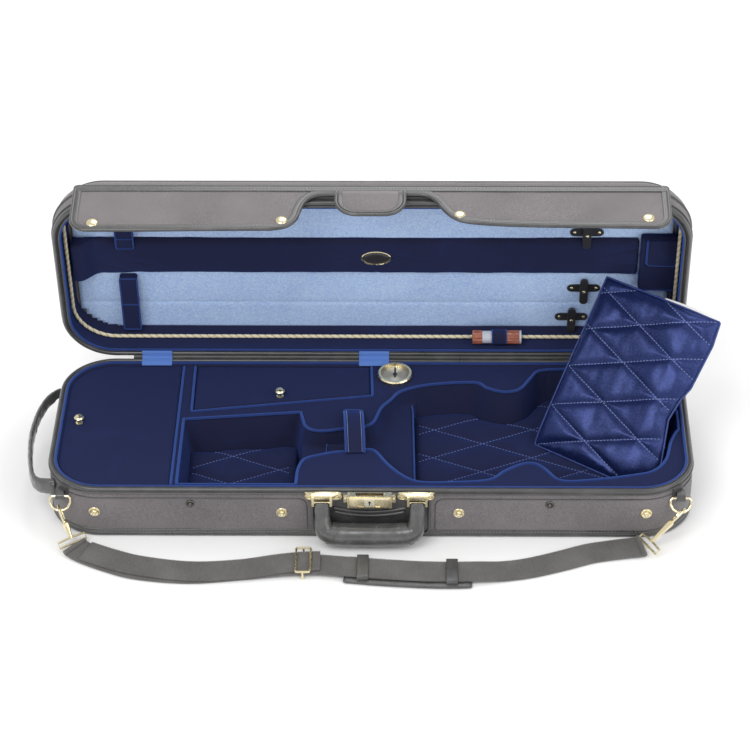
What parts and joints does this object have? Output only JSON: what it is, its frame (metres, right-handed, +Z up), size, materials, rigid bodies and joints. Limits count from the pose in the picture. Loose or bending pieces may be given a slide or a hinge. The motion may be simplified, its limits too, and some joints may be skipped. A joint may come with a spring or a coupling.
{
  "type": "violin case",
  "caption": "Oblong padded violin case standing open, with shaped velvet bed, lidded compartments, bow holders in the lid, carry handle, shoulder strap and a folded blanket.",
  "frame": {"origin": "centre of the base's flat underside", "axes": "+X along the case to the right as seen from the front, +Y from the front to the hinges, +Z up; the lid stands open 82.65 degrees"},
  "size_m": [0.8551, 0.4141, 0.3572],
  "materials": {
    "canvas": "charcoal woven canvas",
    "leather": "black grained leather, edge piping",
    "velvet": "navy velvet",
    "light_satin": "light blue satin",
    "blanket_satin": "navy satin, quilted",
    "brass": "polished, pale gold",
    "black_metal": "black satin",
    "webbing": "dark grey ribbed webbing",
    "rope": "twisted cream and gold cord",
    "humidifier_plastic": "brown caps on a clear tube"
  },
  "bodies": {
    "base": {"base_shell": "canvas", "base_rim": "leather", "instrument_bed": "velvet", "bay_quilt": "velvet", "scroll_quilt": "velvet", "neck_rest": "velvet", "handle_panel": "leather", "lock_case": "brass", "handle_mount_left": "brass", "handle_mount_right": "brass", "hinge_base_leaf_left": "brass", "hinge_base_leaf_middle": "brass", "hinge_base_leaf_right": "brass", "hinge_pin_left": "brass", "hinge_pin_middle": "brass", "hinge_pin_right": "brass", "ring_tab_left": "leather", "ring_tab_right": "leather", "hygrometer_case": "brass"},
    "lid": {"lid_shell": "canvas", "lid_rim": "leather", "lid_panel": "light_satin", "lid_wall_lining": "velvet", "bow_beam": "velvet", "lid_catch": "brass", "hinge_lid_leaf_left": "brass", "hinge_lid_leaf_middle": "brass", "hinge_lid_leaf_right": "brass", "bow_clip_plate_1": "black_metal", "bow_clip_plate_2": "black_metal", "bow_clip_plate_3": "black_metal", "bow_clip_plate_4": "black_metal", "tip_holder_lower": "velvet", "tip_holder_upper": "velvet", "cord": "rope", "lid_end_pocket": "velvet"},
    "needle": {"hygrometer_needle": "black_metal"},
    "lock_bolt": {"lock_slide": "brass"},
    "handle": {"carry_handle": "leather"},
    "strap_over_neck": {"neck_strap": "velvet"},
    "end_lid": {"end_door": "velvet", "end_door_knob": "brass"},
    "middle_lid": {"middle_door": "velvet", "middle_door_knob": "brass"},
    "end_grip": {"end_handle": "leather"},
    "strap": {"ring_left": "brass", "ring_right": "brass", "hook_left": "brass", "hook_right": "brass", "shoulder_strap": "webbing", "strap_pad": "leather"},
    "buckle": {"strap_buckle": "brass"},
    "button_1": {"bow_button_1": "black_metal"},
    "button_2": {"bow_button_2": "black_metal"},
    "button_3": {"bow_button_3": "black_metal"},
    "button_4": {"bow_button_4": "black_metal"},
    "humidifier": {"humidifier": "humidifier_plastic"},
    "flap": {"front_flap": "canvas"},
    "tab": {"lock_tab": "canvas"},
    "blanket": {"blanket": "blanket_satin"}
  },
  "joints": [
    {"name": "lid_hinge", "type": "hinge", "parent": "base", "child": "lid", "pos_m": [0, 0.1343, 0.0752], "axis": [-1, 0, 0], "range_deg": [-82.65, 0]},
    {"name": "blanket_turn", "type": "hinge", "parent": "base", "child": "blanket", "pos_m": [0.2768, 0.062, 0.0463], "axis": [-0.0586, -0.4162, 0.9074], "range_deg": [-146.79, 0]},
    {"name": "flap_hinge", "type": "hinge", "parent": "lid", "child": "flap", "pos_m": [0, 0.1235, 0.34655], "axis": [-1, 0, 0], "range_deg": [0, 110]},
    {"name": "tab_hinge", "type": "hinge", "parent": "flap", "child": "tab", "pos_m": [0, 0.11471, 0.34743], "axis": [-1, 0, 0], "range_deg": [0, 50]},
    {"name": "bow_button_turn_1", "type": "hinge", "parent": "lid", "child": "button_1", "pos_m": [0.258, 0.16565, 0.11353], "axis": [0, 0.9918, 0.1279], "range_deg": [-90, 90]},
    {"name": "bow_button_turn_2", "type": "hinge", "parent": "lid", "child": "button_2", "pos_m": [0.272, 0.15913, 0.16411], "axis": [0, 0.9918, 0.1279], "range_deg": [-90, 90]},
    {"name": "bow_button_turn_3", "type": "hinge", "parent": "lid", "child": "button_3", "pos_m": [0.272, 0.14685, 0.25932], "axis": [0, 0.9918, 0.1279], "range_deg": [-90, 90]},
    {"name": "bow_button_turn_4", "type": "hinge", "parent": "lid", "child": "button_4", "pos_m": [0.258, 0.14032, 0.3099], "axis": [0, 0.9918, 0.1279], "range_deg": [-90, 90]},
    {"name": "humidifier_slide", "type": "slide", "parent": "lid", "child": "humidifier", "axis": [1, 0, 0], "range_m": [0, 0.06]},
    {"name": "handle_swing", "type": "hinge", "parent": "base", "child": "handle", "pos_m": [0, -0.141, 0.061], "axis": [-1, 0, 0], "range_deg": [0, 95]},
    {"name": "lock_slide_move", "type": "slide", "parent": "base", "child": "lock_bolt", "axis": [1, 0, 0], "range_m": [-0.005, 0.005]},
    {"name": "end_door_hinge", "type": "hinge", "parent": "base", "child": "end_lid", "pos_m": [-0.2465, 0, 0.07], "axis": [0, 1, 0], "range_deg": [0, 95]},
    {"name": "middle_door_hinge", "type": "hinge", "parent": "base", "child": "middle_lid", "pos_m": [-0.115, 0.1219, 0.07], "axis": [-1, 0, 0], "range_deg": [0, 75]},
    {"name": "needle_turn", "type": "hinge", "parent": "base", "child": "needle", "pos_m": [0.029, 0.101, 0.0741], "axis": [0, 0, 1], "range_deg": [-60, 60]},
    {"name": "neck_strap_hinge", "type": "hinge", "parent": "base", "child": "strap_over_neck", "pos_m": [-0.0205, -0.058, 0.071], "axis": [1, 0, 0], "range_deg": [0, 90]},
    {"name": "end_handle_swing", "type": "hinge", "parent": "base", "child": "end_grip", "pos_m": [-0.4035, 0, 0.052], "axis": [0, 1, 0], "range_deg": [0, 50]},
    {"name": "strap_swing", "type": "hinge", "parent": "base", "child": "strap", "pos_m": [0, -0.1245, 0.056], "axis": [-1, 0, 0], "range_deg": [0, 100]},
    {"name": "buckle_slide", "type": "slide", "parent": "strap", "child": "buckle", "axis": [1, 0, 0], "range_m": [-0.012, 0.012]}
  ],
  "couplings": [
    {"joint": "blanket_turn", "follows": "lid_hinge", "ratio": 1.776}
  ]
}
